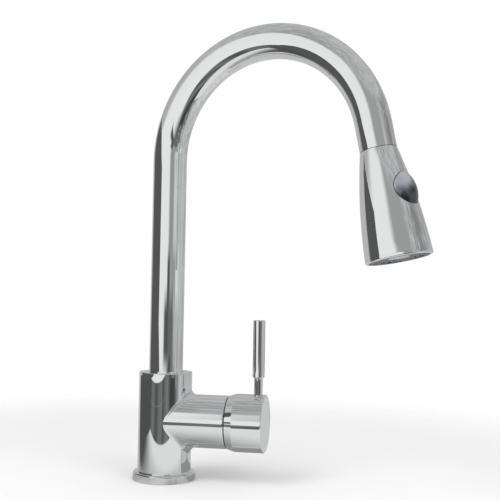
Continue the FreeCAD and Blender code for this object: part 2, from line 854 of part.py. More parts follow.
def bent_tube(name, outside, inside, low, tail):
    """A tube that rises from low, bends over and ends after a straight tail."""
    body = doc.addObject("PartDesign::Body", name)
    section = sketch_on(body, name + "_section", "XY_Plane")
    section.setExpression("AttachmentOffset.Base.z", low.text)
    for number, radius in enumerate((outside, inside)):
        circle = Part.Circle(Vector(), Vector(0, 0, 1), radius.value)
        section.addGeometry(circle, False)
        section.addConstraint(Sketcher.Constraint("Coincident", number, 3, -1, 1))
        bound = section.addConstraint(Sketcher.Constraint("Radius", number, radius.value))
        section.setExpression(f"Constraints[{bound}]", radius.text)
    arc_z = body_top + cells.riser_len
    end_x = cells.bend_r * (1 + cosine(cells.end_tilt))
    end_z = arc_z + cells.bend_r * sine(cells.end_tilt)
    tail_x = end_x + tail * sine(cells.end_tilt)
    tail_z = end_z - tail * cosine(cells.end_tilt)
    path = sketch_on(body, name + "_line", "XZ_Plane")
    start = Vector(0, low.value, 0)
    bend = Vector(0, arc_z.value, 0)
    crown = Vector(cells.bend_r.value, arc_z.value + cells.bend_r.value, 0)
    turn = Vector(end_x.value, end_z.value, 0)
    end = Vector(tail_x.value, tail_z.value, 0)
    path.addGeometry(Part.LineSegment(start, bend), False)
    path.addGeometry(Part.Arc(turn, crown, bend), False)
    path.addGeometry(Part.LineSegment(turn, end), False)
    path.addConstraint(Sketcher.Constraint("Coincident", 0, 2, 1, 2))
    path.addConstraint(Sketcher.Constraint("Coincident", 1, 1, 2, 1))
    places = [
        (0, 1, as_size(0), low),
        (0, 2, as_size(0), arc_z),
        (1, 3, cells.bend_r, arc_z),
        (2, 2, tail_x, tail_z),
    ]
    for line, point, x, y in places:
        for kind, size in (("DistanceX", x), ("DistanceY", y)):
            bound = path.addConstraint(Sketcher.Constraint(kind, -1, 1, line, point, size.value))
            path.setExpression(f"Constraints[{bound}]", size.text)
    bound = path.addConstraint(Sketcher.Constraint("DistanceX", -1, 1, 1, 1, end_x.value))
    path.setExpression(f"Constraints[{bound}]", end_x.text)
    pipe = body.newObject("PartDesign::AdditivePipe", name + "_pipe")
    pipe.Profile = section
    pipe.Spine = (path, ["Edge1", "Edge2", "Edge3"])
    doc.recompute()
    rise = arc_z.value - low.value
    length = rise + cells.bend_r.value * (math.pi - tilt) + tail.value
    expected = math.pi * (outside.value**2 - inside.value**2) * length
    assert abs(pipe.Shape.Volume / expected - 1) < 1e-3, name
    print(name, "runs", round(length, 1), "mm with a bend radius of", cells.bend_r.value)
    return body


def make_spout_tube():
    return bent_tube("spout_tube", tube_r, tube_in_r, tube_low, cells.tail_len)


def make_pull_hose():
    tail = cells.tail_len - hose_head_z
    return bent_tube("pull_hose", hose_r, cells.hose_bore / 2, -cells.hose_drop, tail)


def make_docking_bush():
    inside = dock_bore_r
    outside = tube_in_r - cells.seat_gap
    low = cells.dock_gap
    top = low + cells.dock_bush_len
    corners = [(inside, low), (outside, low), (outside, top), (inside, top)]
    return turned("docking_bush", corners)


def make_hose_tail():
    """Crimped sleeve, hexagon and threaded end on the lower end of the hose."""
    low = -cells.hose_drop - cells.fit_gap
    sleeve_in = hose_r + cells.seat_gap
    sleeve_out = sleeve_in + cells.crimp_wall
    nut_low = low - cells.tail_nut_len
    thread_low = nut_low - cells.tail_thread_len
    sleeve = cylinder("tail_sleeve", sleeve_out, cells.crimp_len, (0, 0, low))
    hose_hole = cylinder("tail_hose_hole", sleeve_in, cells.crimp_len, (0, 0, low))
    nut = hexagon("tail_nut", cells.tail_nut_flats, cells.tail_nut_len, (0, 0, nut_low))
    thread_r = cells.tail_thread_d / 2
    thread = cylinder("tail_thread", thread_r, cells.tail_thread_len, (0, 0, thread_low))
    bore = cylinder("tail_bore", cells.fitting_bore / 2, low - thread_low, (0, 0, thread_low))
    shell = cut("tail_cup", sleeve, hose_hole)
    return cut("hose_tail_fitting", fuse("tail_outside", shell, nut, thread), bore)


# cartridge, built along the branch with its X pointing up


def port_places():
    return [
        (cells.port_up, cells.port_side),
        (cells.port_up, -cells.port_side),
        (-cells.port_down, as_size(0)),
    ]


def port_holes(name, start, length):
    return [
        cylinder(name + "_port", channel_r, length, (up, side, start))
        for up, side in port_places()
    ]


def make_cartridge_base():
    disc = cylinder("base_disc", cartridge_r, cells.base_disc_t, (0, 0, base_disc_x))
    seal_r = (cells.seal_ring_d + cells.seal_wire) / 2 + cells.fit_gap
    depth = cells.seal_wire + cells.fit_gap - cells.seal_stand
    recesses = [
        cylinder("seal_recess", seal_r, depth, (up, side, base_disc_x))
        for up, side in port_places()
    ]
    holes = port_holes("base", base_disc_x, cells.base_disc_t)
    return cut("cartridge_base", disc, *recesses, *holes)


def make_cartridge_seals():
    wire_r = cells.seal_wire / 2
    middle = seat_x + wire_r + cells.seat_gap
    rings = [
        ring("cartridge_seal", cells.seal_ring_d / 2, wire_r, (up, side, middle))
        for up, side in port_places()
    ]
    return group("cartridge_seals", *rings)


def make_fixed_disc():
    radius = cartridge_in_r - 2 * cells.fit_gap
    disc = cylinder("lower_ceramic", radius, cells.ceramic_t, (0, 0, fixed_disc_x))
    return cut("fixed_disc", disc, *port_holes("ceramic", fixed_disc_x, cells.ceramic_t))


def make_cartridge_shell():
    lip_r = cells.lip_hole_d / 2
    corners = [
        (cartridge_in_r, fixed_disc_x),
        (cartridge_r, fixed_disc_x),
        (cartridge_r, cartridge_end),
        (lip_r, cartridge_end),
        (lip_r, lip_x),
        (cartridge_in_r, lip_x),
    ]
    return turned("cartridge_shell", corners)


def make_moving_disc():
    radius = cells.moving_disc_d / 2
    disc = cylinder("upper_ceramic", radius, cells.moving_disc_t, (0, 0, moving_disc_x))
    recess_r = cells.mix_recess_d / 2
    recess = cylinder("mix_recess", recess_r, cells.mix_recess_depth, (0, 0, moving_disc_x))
    return cut("moving_disc", disc, recess)


def make_disc_carrier():
    radius = cells.moving_disc_d / 2 - cells.free_gap
    disc = cylinder("carrier_blank", radius, cells.carrier_t, (0, 0, carrier_x))
    socket_r = cells.carrier_socket_d / 2
    socket = cylinder("carrier_socket", socket_r, cells.carrier_t, (0, 0, carrier_x))
    return cut("disc_carrier", disc, socket)


def make_rotor():
    drum = cylinder("rotor_drum", rotor_r, cells.rotor_len, (0, 0, rotor_x))
    width = cells.stem_square + cells.free_gap
    height = 2 * cells.rotor_slot_up
    slot = block("rotor_slot", height, width, cells.rotor_len, (-height / 2, -width / 2, rotor_x))
    pin_r = cells.pivot_pin_d / 2 + cells.seat_gap
    pin_hole = cylinder("rotor_pin_hole", pin_r, 2 * rotor_r, (0, -rotor_r, pivot_x), "y")
    return cut("cartridge_rotor", drum, slot, pin_hole)


def make_pivot_pin():
    reach = rotor_r - 4 * cells.free_gap
    radius = cells.pivot_pin_d / 2
    return turned("pivot_pin", [(0, -reach), (radius, -reach), (radius, reach), (0, reach)])


def make_stem():
    side = cells.stem_square
    bar = block("stem_bar", side, side, stem_end - pivot_x, (-side / 2, -side / 2, pivot_x))
    hub = cylinder("stem_hub", cells.stem_hub_d / 2, side, (0, -side / 2, pivot_x), "y")
    tip_start = carrier_x + cells.stem_tip_gap
    tip = cylinder("stem_tip", cells.stem_tip_d / 2, pivot_x - tip_start, (0, 0, tip_start))
    pin_r = cells.pivot_pin_d / 2 + cells.seat_gap
    pin_hole = cylinder("stem_pin_hole", pin_r, side, (0, -side / 2, pivot_x), "y")
    return cut("cartridge_stem", fuse("stem_blank", bar, hub, tip), pin_hole)


def make_retaining_nut():
    hole_r = cells.nut_hole_d / 2
    outside = nut_bore_r - cells.seat_gap
    corners = [(hole_r, nut_x), (outside, nut_x), (outside, nut_end), (hole_r, nut_end)]
    blank = turned("nut_blank", corners)
    notch = cells.nut_notch
    across = 2 * nut_bore_r
    low = nut_end - notch / 2
    slots = [
        block("nut_slot", across, notch, notch, (-across / 2, -notch / 2, low)),
        block("nut_slot", notch, across, notch, (-notch / 2, -across / 2, low)),
    ]
    return cut("retaining_nut", blank, *slots)


def on_ball(ball_r, radius):
    """Place along the branch where a ball about the handle's pivot has this radius."""
    return pivot_x + root(ball_r * ball_r - radius * radius)


def make_bonnet():
    outer_ball = swing_r - cells.bonnet_clear
    inner_ball = outer_ball - cells.bonnet_wall
    hole_r = cells.bonnet_hole_d / 2
    skirt_out = nut_bore_r - cells.fit_gap
    skirt_in = skirt_out - cells.bonnet_wall
    foot = nut_end + cells.fit_gap
    corners = [
        (skirt_in, foot),
        (skirt_out, foot),
        (skirt_out, on_ball(outer_ball, skirt_out)),
        (hole_r, on_ball(outer_ball, hole_r)),
        (hole_r, on_ball(inner_ball, hole_r)),
        (skirt_in, on_ball(inner_ball, skirt_in)),
    ]
    arcs = {2: (outer_ball, -1), 4: (inner_ball, 1)}
    return turned("bonnet", corners, arcs)


# handle


def make_handle_cap():
    chamfer_end = rim_x + cells.cap_chamfer_len
    boss_r = cells.boss_d / 2
    corners = [
        (0, cap_end),
        (0, boss_x),
        (boss_r, boss_x),
        (boss_r, hollow_end),
        (cap_hollow_r, hollow_end),
        (cap_hollow_r, rim_x),
        (cap_r - cells.cap_chamfer_in, rim_x),
        (cap_r, chamfer_end),
        (cap_r, cap_end),
    ]
    blank = turned("cap_blank", corners, rounds=[(cap_r, cap_end, cells.cap_round)])
    side = cells.stem_square + 2 * cells.fit_gap
    depth = stem_end + cells.fit_gap - boss_x
    socket = block("cap_socket", side, side, depth, (-side / 2, -side / 2, boss_x))
    lever_hole_r = cells.lever_d / 2 + cells.seat_gap
    lever_hole = cylinder(
        "lever_hole", lever_hole_r, cells.lever_sink, (cap_r - cells.lever_sink, 0, lever_x), "x"
    )
    screw_hole_r = cells.cap_screw_d / 2 + cells.seat_gap
    screw_hole = cylinder("cap_screw_hole", screw_hole_r, boss_r, (-boss_r, 0, cap_screw_x), "x")
    key_hole_r = cells.plug_d / 2 + cells.seat_gap
    key_hole = cylinder(
        "cap_key_hole", key_hole_r, cap_r - boss_r, (-cap_r, 0, cap_screw_x), "x"
    )
    return cut("handle_cap", blank, socket, lever_hole, screw_hole, key_hole)


def make_cap_screw():
    start = cells.stem_square / 2 + cells.fit_gap
    end = cells.boss_d / 2 - cells.free_gap
    screw = drilled_grub("handle_set_screw", [(cells.cap_screw_d / 2, start, end)], end)
    return screw


def make_cap_plug():
    start = cap_hollow_r + cells.fit_gap
    end = cap_r - cells.plug_sink
    radius = cells.plug_d / 2
    return turned("handle_plug", [(0, start), (radius, start), (radius, end), (0, end)])


def make_lever_rod():
    rod_r = cells.lever_d / 2
    grip_core_r = cells.grip_core_d / 2
    core_top = grip_low + cells.grip_core_len
    corners = [
        (0, lever_low),
        (rod_r, lever_low),
        (rod_r, grip_low),
        (grip_core_r, grip_low),
        (grip_core_r, core_top),
        (0, core_top),
    ]
    return turned("lever_rod", corners)


def make_lever_grip():
    grip_r = cells.grip_d / 2
    bore_r = cells.grip_core_d / 2 + cells.seat_gap
    low = grip_low + cells.seat_gap
    bore_top = grip_low + cells.grip_core_len + cells.fit_gap
    top = grip_low + cells.grip_len
    corners = [
        (bore_r, low),
        (grip_r - cells.grip_chamfer, low),
        (grip_r, low + cells.grip_chamfer),
        (grip_r, top),
        (0, top),
        (0, bore_top),
        (bore_r, bore_top),
    ]
    return turned("lever_grip", corners, rounds=[(grip_r, top, cells.grip_round)])


# hose end in the spray head


def make_hose_fitting():
    bore_r = cells.fitting_bore / 2
    nipple_r = cells.hose_bore / 2 - cells.fit_gap
    collar_side = cells.fitting_collar_d / 2
    collar_top = collar_foot + cells.fitting_collar_t
    nipple_top = cells.tail_len - 2 * cells.fit_gap
    corners = [
        (bore_r, -cells.fitting_depth),
        (fitting_r, -cells.fitting_depth),
        (fitting_r, collar_foot),
        (collar_side, collar_foot),
        (collar_side, collar_top),
        (nipple_r, collar_top),
        (nipple_r, nipple_top),
        (bore_r, nipple_top),
    ]
    return turned("hose_fitting", corners)


def make_hose_ferrule():
    inside = hose_r + cells.fit_gap
    outside = inside + cells.crimp_wall
    low = hose_head_z
    top = cells.tail_len - cells.free_gap
    corners = [(inside, low), (outside, low), (outside, top), (inside, top)]
    return turned("hose_ferrule", corners)


# spray head


def make_head_shell():
    wall = cells.head_wall
    top = -cells.dock_gap
    low = -sweep_end
    roof = top - cells.head_top_t
    hole_r = neck_r + cells.fit_gap
    corners = [
        (hole_r, top),
        (hole_r, roof),
        (tube_r - wall, roof),
        (head_r - wall, low),
        (head_r, low),
        (tube_r, top),
    ]
    arcs = {2: (cells.head_sweep_r - wall, 1), 4: (cells.head_sweep_r, -1)}
    blank = turned("shell_blank", corners, arcs)
    place = BUTTON_IN_HEAD * Placement(Vector(0, 0, core_r.value), Rotation())
    hole = cylinder("button_hole", cells.button_d / 2 + cells.button_gap, head_r, place)
    return cut("head_shell", blank, hole)


def make_head_core():
    bell_in = bell_r - cells.bell_wall
    valve_cup_r = cells.valve_cup_d / 2
    corners = [
        (fitting_bore_r, cells.neck_up),
        (neck_r, cells.neck_up),
        (neck_r, -cells.neck_down),
        (core_r, -cells.neck_down),
        (core_r, -bell_s),
        (bell_r, -bell_end),
        (bell_r, -face_top),
        (bell_in, -face_top),
        (bell_in, -bell_end - cells.bell_wall / 2),
        (water_r, -bell_s - cells.bell_wall),
        (water_r, -valve_cup_end),
        (valve_cup_r, -valve_cup_end),
        (valve_cup_r, -valve_cup_top),
        (fitting_bore_r, -valve_cup_top),
    ]
    blank = turned("core_blank", corners)
    seat = cylinder("spring_seat", cells.spring_seat_d / 2, cells.spring_seat, BUTTON_IN_HEAD)
    guide = cylinder("pin_guide", cells.guide_d / 2, cells.guide_top, BUTTON_IN_HEAD)
    pin_hole_r = cells.pin_d / 2 + cells.run_gap
    pin_hole = cylinder("pin_hole", pin_hole_r, cells.guide_top, BUTTON_IN_HEAD)
    water = cylinder("waterway", water_r, bell_s - valve_cup_end, (0, 0, -bell_s))
    return cut("head_core", fuse("core_outside", blank, seat, guide), pin_hole, water)


def make_inlet_washer():
    hole_r = cells.washer_hole_d / 2
    outside = fitting_r - cells.seat_gap
    low = -valve_cup_top
    top = low + cells.washer_t
    return turned("inlet_washer", [(hole_r, low), (outside, low), (outside, top), (hole_r, top)])


def make_check_valve():
    hole_r = cells.valve_cup_hole_d / 2
    outside = cells.valve_cup_d / 2 - cells.seat_gap
    low = -valve_cup_end + cells.seat_gap
    top = -valve_cup_top - cells.seat_gap
    return turned("check_valve", [(hole_r, low), (outside, low), (outside, top), (hole_r, top)])


def make_spray_face():
    hole_r = aerator_r + cells.fit_gap
    half = cells.face_t / 2
    corners = [(hole_r, -half), (face_r, -half), (face_r, half), (hole_r, half)]
    face = turned("spray_face", corners)
    nozzle_r = cells.nozzle_d / 2 + cells.seat_gap
    drill_ring(face, "inner_row", nozzle_r, cells.nozzle_inner_ring, cells.nozzle_inner_count)
    return drill_ring(
        face, "outer_row", nozzle_r, cells.nozzle_outer_ring, cells.nozzle_outer_count
    )


def make_spray_nozzles():
    """Soft tips standing in the holes of the spray face."""
    base_r = cells.nozzle_d.value / 2
    tip_r = cells.nozzle_tip_d.value / 2
    out = cells.nozzle_out.value
    rows = [
        (cells.nozzle_inner_ring.value, int(cells.nozzle_inner_count.value)),
        (cells.nozzle_outer_ring.value, int(cells.nozzle_outer_count.value)),
    ]
    tips = []
    for row_r, count in rows:
        for number in range(count):
            turn = 2 * math.pi * number / count
            top = Vector(row_r * math.cos(turn), row_r * math.sin(turn), -face_top.value)
            low = top - Vector(0, 0, cells.face_t.value)
            root_part = Part.makeCylinder(base_r, cells.face_t.value, low)
            tip = Part.makeCone(tip_r, base_r, out, low - Vector(0, 0, out))
            tips.append(root_part.fuse(tip).removeSplitter())
    nozzles = doc.addObject("Part::Feature", "spray_nozzles")
    nozzles.Shape = Part.makeCompound(tips)
    return nozzles


def make_aerator():
    """Cup in the middle of the face, hung by its flange, with a drilled screen at its mouth."""
    inside = aerator_r - cells.aerator_wall
    flange = aerator_r + cells.aerator_flange
    low = -cells.screen_t / 2
    screen_top = cells.screen_t / 2
    face_height = head_len - cells.aerator_sink - face_top - cells.screen_t / 2
    flange_low = face_height + cells.seat_gap
    flange_top = flange_low + cells.aerator_flange
    top = face_height + cells.aerator_up
    corners = [
        (0, low),
        (aerator_r, low),
        (aerator_r, flange_low),
        (flange, flange_low),
        (flange, flange_top),
        (aerator_r, flange_top),
        (aerator_r, top),
        (inside, top),
        (inside, screen_top),
        (0, screen_top),
    ]
    cup = turned("aerator", corners)
    return drill_ring(
        cup, "screen", cells.screen_hole_d / 2, cells.screen_ring, cells.screen_count
    )


def make_face_ring():
    inside = face_r + cells.seat_gap
    low = -head_len
    top = -sweep_end - cells.seat_gap
    corners = [(inside, low), (head_r, low), (head_r, top), (inside, top)]
    return turned("face_ring", corners, rounds=[(head_r, low, cells.head_ring_round)])


# spray button, built with its Z along the push


def barrel_form(name, long_r, side_r, crown):
    """A barrel lying across the push, whose side is the button's curved top."""
    half = cells.button_d / 2 + cells.button_gap
    shoulder = long_r - side_r + root(side_r * side_r - half * half)
    corners = [(0, -half), (shoulder, -half), (shoulder, half), (0, half)]
    barrel = turned(name, corners, {1: (side_r, -1)})
    return put(barrel, (0, 0, crown - long_r), "y")


def make_spray_button():
    radius = cells.button_d / 2
    wall = cells.button_wall
    skirt = button_seat - cells.button_skirt
    length = button_crown - skirt + wall
    top_form = barrel_form("button_top", cells.button_long_r, cells.button_side_r, button_crown)
    post = cylinder("button_post", radius, length, (0, 0, skirt))
    hollow_form = barrel_form(
        "button_hollow", cells.button_long_r - wall, cells.button_side_r, button_under
    )
    hollow_post = cylinder("button_hollow_post", radius - wall, length, (0, 0, skirt))
    solid = common("button_solid", top_form, post)
    hollow = common("button_inside", hollow_form, hollow_post)
    return cut("spray_button", solid, hollow)


def make_diverter_pin():
    start = cells.pin_reach
    top = button_under - cells.fit_gap
    radius = cells.pin_d / 2
    return turned("diverter_pin", [(0, start), (radius, start), (radius, top), (0, top)])


def tangent_arc(start, heading, end):
    """The arc that leaves start along heading and reaches end."""
    chord = end - start
    along = Vector(chord).normalize()
    turn = heading.getAngle(chord)
    aside = (heading - along * heading.dot(along)).normalize()
    middle = (start + end) / 2 + aside * (chord.Length / 2 * math.tan(turn / 2))
    return Part.Arc(start, middle, end).toShape()


def quarter_turn(start, start_heading, end, end_heading):
    """Two arcs that meet smoothly and follow a quarter of a coil."""
    gap = end - start
    both = start_heading + end_heading
    spread = 2 * (1 - start_heading.dot(end_heading))
    reach = math.sqrt(gap.dot(both) ** 2 + spread * gap.dot(gap)) - gap.dot(both)
    middle = (start + end + (start_heading - end_heading) * (reach / spread)) / 2
    middle_heading = (middle - start - start_heading * (reach / spread)).normalize()
    return [tangent_arc(start, start_heading, middle), tangent_arc(middle, middle_heading, end)]


def make_button_spring():
    """A coil spring round the pin's guide, between the core and the button."""
    middle_r = cells.spring_d.value / 2
    wire_r = cells.spring_wire.value / 2
    low = cells.spring_seat.value + wire_r + cells.seat_gap.value
    top = button_under.value - cells.button_wall.value - wire_r
    quarters = 4 * int(cells.spring_turns.value)
    rise = (top - low) / quarters
    slope = math.atan2(rise, middle_r * math.pi / 2)
    points = []
    headings = []
    for number in range(quarters + 1):
        turn = number * math.pi / 2
        across = Vector(math.cos(turn), math.sin(turn), 0)
        points.append(across * middle_r + Vector(0, 0, low + number * rise))
        level = Vector(-math.sin(turn), math.cos(turn), 0)
        headings.append(level * math.cos(slope) + Vector(0, 0, math.sin(slope)))
    arcs = []
    for number in range(quarters):
        after = number + 1
        arcs += quarter_turn(points[number], headings[number], points[after], headings[after])
    section = Part.Wire([Part.Circle(points[0], headings[0], wire_r).toShape()])
    spring = doc.addObject("Part::Feature", "button_spring")
    spring.Shape = Part.Wire(arcs).makePipeShell([section], True, False)
    print("button_spring: gap between turns", round(4 * rise - 2 * wire_r, 2), "mm")
    return spring


# every sub-part with its node's name and the frame that it is built in

WORLD = Placement()
FACE = HEAD * Placement(Vector(0, 0, -(face_top.value + cells.face_t.value / 2)), Rotation())
aerator_z = cells.aerator_sink + cells.screen_t / 2 - head_len
SCREEN = HEAD * Placement(Vector(0, 0, aerator_z.value), Rotation())
FACING_DOWN = Rotation(Vector(0, 1, 0), 180)
CAP_SCREW = Placement(Vector(cap_screw_x.value, 0, cells.branch_z.value), FACING_DOWN)

subparts = {
    "valve_body": (make_valve_body(), WORLD),
    "base_flange": (make_base_flange(), WORLD),
    "base_seal": (make_base_seal(), WORLD),
    "fixing_studs": (make_fixing_studs(), WORLD),
    "clamp_pad": (make_horseshoe("clamp_pad", clamp_top, cells.pad_t), WORLD),
    "clamp_plate": (make_horseshoe("clamp_plate", plate_top, cells.plate_t), WORLD),
    "stud_nuts": (make_stud_nuts(), WORLD),
    "swivel_washer": (make_thrust_washer(), WORLD),
    "swivel_bush": (make_swivel_bush(), WORLD),
    "spout_collar": (make_spout_collar(), WORLD),
    "spout_set_screw": (make_hold_screw(), HOLD_SCREW),
    "cartridge_base": (make_cartridge_base(), VALVE),
    "cartridge_seals": (make_cartridge_seals(), VALVE),
    "cartridge_shell": (make_cartridge_shell(), VALVE),
    "fixed_disc": (make_fixed_disc(), VALVE),
    "retaining_nut": (make_retaining_nut(), VALVE),
    "bonnet": (make_bonnet(), VALVE),
    "cartridge_rotor": (make_rotor(), VALVE),
    "pivot_pin": (make_pivot_pin(), PIVOT),
    "moving_disc": (make_moving_disc(), VALVE),
    "disc_carrier": (make_disc_carrier(), VALVE),
    "cartridge_stem": (make_stem(), VALVE),
    "handle_cap": (make_handle_cap(), VALVE),
    "handle_set_screw": (make_cap_screw(), CAP_SCREW),
    "handle_plug": (make_cap_plug(), CAP_SCREW),
    "lever_rod": (make_lever_rod(), LEVER),
    "lever_grip": (make_lever_grip(), LEVER),
    "spout_tube": (make_spout_tube(), SPOUT),
    "spout_ferrule": (make_spout_ferrule(), SPOUT),
    "spout_o_rings": (make_spout_rings(), SPOUT),
    "docking_bush": (make_docking_bush(), HEAD),
    "pull_hose": (make_pull_hose(), SPOUT),
    "hose_tail_fitting": (make_hose_tail(), SPOUT),
    "hose_fitting": (make_hose_fitting(), HEAD),
    "hose_ferrule": (make_hose_ferrule(), HEAD),
    "head_shell": (make_head_shell(), HEAD),
    "head_core": (make_head_core(), HEAD),
    "inlet_washer": (make_inlet_washer(), HEAD),
    "check_valve": (make_check_valve(), HEAD),
    "spray_face": (make_spray_face(), FACE),
    "spray_nozzles": (make_spray_nozzles(), HEAD),
    "aerator": (make_aerator(), SCREEN),
    "face_ring": (make_face_ring(), HEAD),
    "spray_button": (make_spray_button(), BUTTON),
    "diverter_pin": (make_diverter_pin(), BUTTON),
    "button_spring": (make_button_spring(), BUTTON),
}

doc.recompute()
for label, (thing, frame) in subparts.items():
    thing.Label = label
    thing.Placement = frame
doc.recompute()

for thing in doc.Objects:
    faults = {"Invalid", "Error"} & set(thing.State)
    assert not faults, f"{thing.Name}: {faults}"

os.makedirs("parts", exist_ok=True)
for label, (thing, frame) in subparts.items():
    shape = thing.Shape
    assert not shape.isNull() and shape.isValid() and shape.Volume > 0, label
    shape.exportStep(f"parts/{label}.step")
    box = shape.BoundBox
    sides = [round(side, 1) for side in (box.XLength, box.YLength, box.ZLength)]
    print(label, round(shape.Volume, 1), sides)
print(len(subparts), "sub-parts")
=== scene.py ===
# %% [markdown]
# # A chrome pull-out kitchen faucet
#
# The faucet arrives as finished solids, already in place and in metres: the barrel with its side
# branch, the gooseneck, the spray head with its button, and everything inside them. This lesson
# puts them in a studio and gives each one its finish. Mirror chrome shows hardly anything of
# itself and nearly everything of the room, so the room is the main thing to build.

# %% Load the solids
import json
import math

import bmesh
import bpy
from mathutils import Matrix, Vector


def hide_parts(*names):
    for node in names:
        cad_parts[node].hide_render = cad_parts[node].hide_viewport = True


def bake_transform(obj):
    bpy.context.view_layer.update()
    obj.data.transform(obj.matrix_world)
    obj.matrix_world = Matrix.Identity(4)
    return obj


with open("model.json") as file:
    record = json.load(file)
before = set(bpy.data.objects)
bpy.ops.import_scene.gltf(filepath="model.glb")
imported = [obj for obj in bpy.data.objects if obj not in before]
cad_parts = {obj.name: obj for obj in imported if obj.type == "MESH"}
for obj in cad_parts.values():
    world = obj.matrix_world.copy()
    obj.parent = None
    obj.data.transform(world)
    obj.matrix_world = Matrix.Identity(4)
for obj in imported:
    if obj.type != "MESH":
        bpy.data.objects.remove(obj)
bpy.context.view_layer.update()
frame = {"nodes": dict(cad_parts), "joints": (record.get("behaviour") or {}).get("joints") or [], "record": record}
nodes = frame["nodes"]
record = frame["record"]
scene = bpy.context.scene
scene.view_settings.view_transform = "Standard"

# %% [markdown]
# ## The camera
#
# This view is from about three quarters of a metre away through a short telephoto lens, a little
# above the lever and looking slightly up at the spout. The camera's place was found by
# matching the outlines of the tube, the barrel and the cap, so it is written down as numbers:
# where it stands, and how far it is turned, raised and rolled. Three axes built from these angles
# make the camera's matrix, which is clearer than chasing the same view with Euler angles.

# %% Set up the camera
CAMERA_PLACE = Vector((0.2058, -0.7024, 0.1555))
CAMERA_YAW = -0.1914
CAMERA_PITCH = -0.0483
CAMERA_ROLL = 0.0160
CAMERA_LENS = 62.55

ahead = Vector((
    math.sin(CAMERA_YAW) * math.cos(CAMERA_PITCH),
    math.cos(CAMERA_YAW) * math.cos(CAMERA_PITCH),
    -math.sin(CAMERA_PITCH),
))
level = Vector((math.cos(CAMERA_YAW), -math.sin(CAMERA_YAW), 0))
upright = level.cross(ahead)
right = level * math.cos(CAMERA_ROLL) + upright * math.sin(CAMERA_ROLL)
up = upright * math.cos(CAMERA_ROLL) - level * math.sin(CAMERA_ROLL)

lens = bpy.data.cameras.new("camera")
lens.lens = CAMERA_LENS
lens.clip_start = 0.01
camera = bpy.data.objects.new("camera", lens)
turn = Matrix((right, up, -ahead)).transposed()
camera.matrix_world = Matrix.Translation(CAMERA_PLACE) @ turn.to_4x4()
scene.collection.objects.link(camera)
scene.camera = camera
print("camera at", tuple(round(v, 3) for v in CAMERA_PLACE), "with a", CAMERA_LENS, "mm lens")

# %% [markdown]
# ## Writing shaders as sums
#
# Wiring a node tree by hand is slow to write and slower to read. A wire here is one output socket,
# and adding or multiplying wires adds the Math node for it, so a formula reads like a formula.
# Every other node comes from one method: its type, its settings, then what goes into its sockets.

# %% Shader helpers
class Wire:
    """One output socket; arithmetic on it adds Math nodes to its tree."""

    def __init__(self, tree, socket):
        self.tree = tree
        self.socket = socket

    def maths(self, operation, *values):
        inputs = dict(enumerate(values))
        return self.tree.add("Math", {"operation": operation}, inputs)

    def __add__(self, other):
        return self.maths("ADD", self, other)

    def __radd__(self, other):
        return self.maths("ADD", other, self)

    def __sub__(self, other):
        return self.maths("SUBTRACT", self, other)

    def __rsub__(self, other):
        return self.maths("SUBTRACT", other, self)

    def __mul__(self, other):
        return self.maths("MULTIPLY", self, other)

    def __rmul__(self, other):
        return self.maths("MULTIPLY", other, self)


class Shader:
    """A node tree that is emptied and then filled from short expressions."""

    def __init__(self, tree):
        self.nodes = tree.nodes
        self.links = tree.links
        self.nodes.clear()

    def add(self, kind, settings=None, inputs=None, output=0):
        node = self.nodes.new("ShaderNode" + kind)
        for name, value in (settings or {}).items():
            if name == "stops":
                self.fill_ramp(node.color_ramp, value)
            else:
                setattr(node, name, value)
        for name, value in (inputs or {}).items():
            if isinstance(value, Wire):
                self.links.new(value.socket, node.inputs[name])
            else:
                node.inputs[name].default_value = value
        return Wire(self, node.outputs[output]) if node.outputs else None

    def fill_ramp(self, ramp, stops):
        while len(ramp.elements) < len(stops):
            ramp.elements.new(1.0)
        for element, (place, tone) in zip(ramp.elements, stops):
            element.position = place
            element.color = (*tone, 1)

    def between(self, value, low, high):
        """0 below low, 1 above high and a smooth step between."""
        return self.add(
            "MapRange",
            {"interpolation_type": "SMOOTHSTEP"},
            {"Value": value, "From Min": low, "From Max": high},
        )

    def mix(self, amount, first, second):
        """Goes from the first colour to the second."""
        return self.add(
            "Mix",
            {"data_type": "RGBA"},
            {"Factor": amount, 6: first, 7: second},
            2,
        )

    def split(self, vector):
        """The three numbers of a vector."""
        node = self.add("SeparateXYZ", None, {"Vector": vector}).socket.node
        return [Wire(self, socket) for socket in node.outputs]

    def noise(self, scale, detail=3.0, stretch=(1, 1, 1)):
        """Soft noise in the object's own metres, stretched along an axis where asked."""
        place = self.add("TexCoord", output="Object")
        mapped = self.add("Mapping", None, {"Vector": place, "Scale": stretch})
        return self.add("TexNoise", None, {"Vector": mapped, "Scale": scale, "Detail": detail})


def new_finish(name):
    material = bpy.data.materials.new(name)
    material.use_nodes = True
    return material, Shader(material.node_tree)


def close_finish(shader, constants, links, bump=None):
    """Ends a tree in a Principled shader with constant sockets, linked sockets and a bump."""
    inputs = dict(constants)
    inputs.update(links)
    if bump is not None:
        height, strength, distance = bump
        inputs["Normal"] = shader.add(
            "Bump", None, {"Strength": strength, "Distance": distance, "Height": height}
        )
    surface = shader.add("BsdfPrincipled", None, inputs)
    shader.add("OutputMaterial", None, {"Surface": surface})


print("shader helpers ready")

# %% [markdown]
# ## The studio that the chrome reflects
#
# A vertical tube turns the room into vertical bands: its left edge looks behind the faucet, then
# to the left, then back at the camera in the middle, then to the right. A set that suits chrome
# has a broad white panel on the left, a dark gap where the camera stands, and greyer walls with a
# window on the right.
#
# Cards could be placed for all of that, but a world that looks up its tone by direction does the
# same for everything that stands far off: the room is listed as things round the faucet, from
# floor to ceiling, each with its first and last degree to the right of the camera and its tone.
# A real room is never quite plain, so noise puts some clutter on its right side and overhead.
# Rays from the camera see plain white instead, and rays that light matt surfaces see an even grey.

